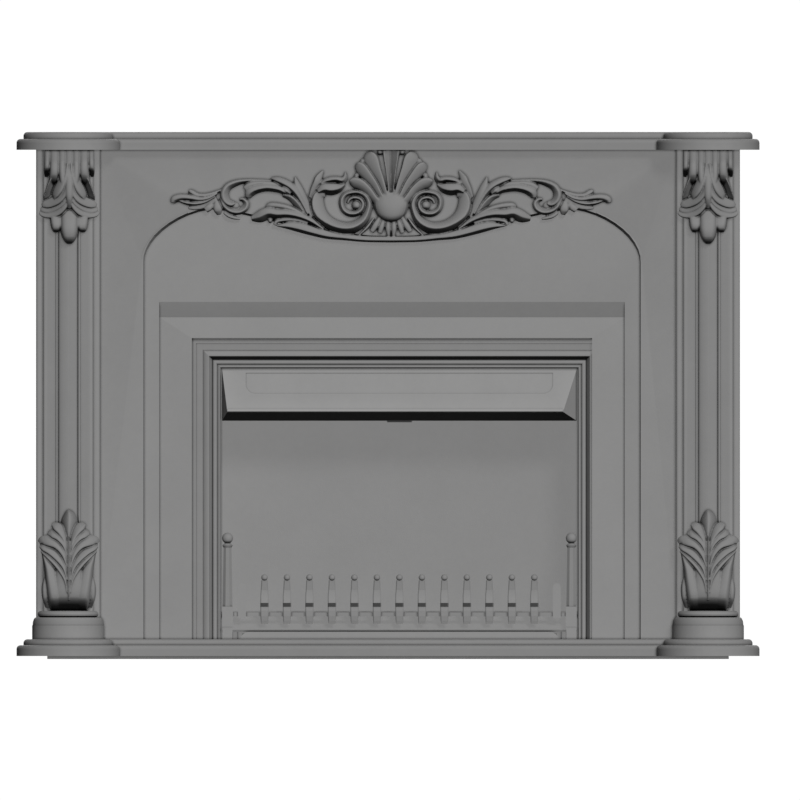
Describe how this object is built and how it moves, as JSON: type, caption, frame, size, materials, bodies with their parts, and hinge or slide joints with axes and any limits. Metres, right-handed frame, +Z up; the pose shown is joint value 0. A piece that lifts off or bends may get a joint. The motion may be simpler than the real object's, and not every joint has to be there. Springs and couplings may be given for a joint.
{
  "type": "cast iron fireplace",
  "caption": "Cast iron fireplace with carved surround and shelf, recessed open-fire insert, hood, flue damper, lift-off fire basket and sliding ash pan.",
  "frame": {"origin": "Middle of the footprint on the floor, so the widest point left and right and the hearth's front and the fireback's rear are equally far away.", "axes": "+X to the viewer's right, -Y faces the room, +Z up. The wall plane is at y = 0.018."},
  "size_m": [1.5, 0.412, 1.064],
  "materials": {
    "painted_iron": "sand-cast iron in flat mid-grey stove paint, faint casting grain, slightly polished along the raised edges",
    "firebox_iron": "grey cast iron, rougher and a little sooted where the fire reaches",
    "pan_steel": "grey painted sheet steel, dull",
    "steel": "dull grey steel bolts and spindle"
  },
  "bodies": {
    "surround": {"shelf_top": "painted_iron", "shelf_bed_moulding": "painted_iron", "front_panel": "painted_iron", "left_pilaster": "painted_iron", "right_pilaster": "painted_iron", "left_corbel_leaf": "painted_iron", "right_corbel_leaf": "painted_iron", "left_foot_leaf": "painted_iron", "right_foot_leaf": "painted_iron", "left_plinth": "painted_iron", "right_plinth": "painted_iron", "crest_ornament": "painted_iron", "hearth_top": "painted_iron", "hearth_slab": "painted_iron", "base_strip": "painted_iron", "infill_panel": "painted_iron", "top_slip": "painted_iron", "left_slip": "painted_iron", "right_slip": "painted_iron", "insert_frame": "painted_iron", "hood": "firebox_iron", "fireback": "firebox_iron", "left_cheek": "firebox_iron", "right_cheek": "firebox_iron", "throat_plate": "firebox_iron", "spindle_brackets": "firebox_iron", "flue_plate": "firebox_iron", "flue_spigot": "firebox_iron", "firebox_base": "firebox_iron", "fire_floor": "firebox_iron", "wall_straps": "painted_iron", "panel_bolts": "steel", "shelf_bolts": "steel", "hood_screws": "steel"},
    "ash_drawer": {"ash_pan": "pan_steel", "ash_pan_front": "painted_iron"},
    "damper": {"damper_flap": "firebox_iron", "damper_spindle": "steel", "damper_lever": "steel"},
    "fire_basket": {"basket_fret": "painted_iron", "left_basket_post": "painted_iron", "right_basket_post": "painted_iron"},
    "grate": {"bottom_grate": "firebox_iron"}
  },
  "joints": [
    {"name": "ash_pan_slide", "type": "slide", "parent": "surround", "child": "ash_drawer", "axis": [0, -1, 0], "range_m": [0, 0.13]},
    {"name": "damper_turn", "type": "hinge", "parent": "surround", "child": "damper", "pos_m": [0.023, 0.078, 0.591], "axis": [1, 0, 0], "range_deg": [0, 80]},
    {"name": "basket_lift", "type": "slide", "parent": "surround", "child": "fire_basket", "axis": [0, 0, 1], "range_m": [0, 0.06]},
    {"name": "grate_lift", "type": "slide", "parent": "surround", "child": "grate", "axis": [0, 0, 1], "range_m": [0, 0.08]}
  ]
}
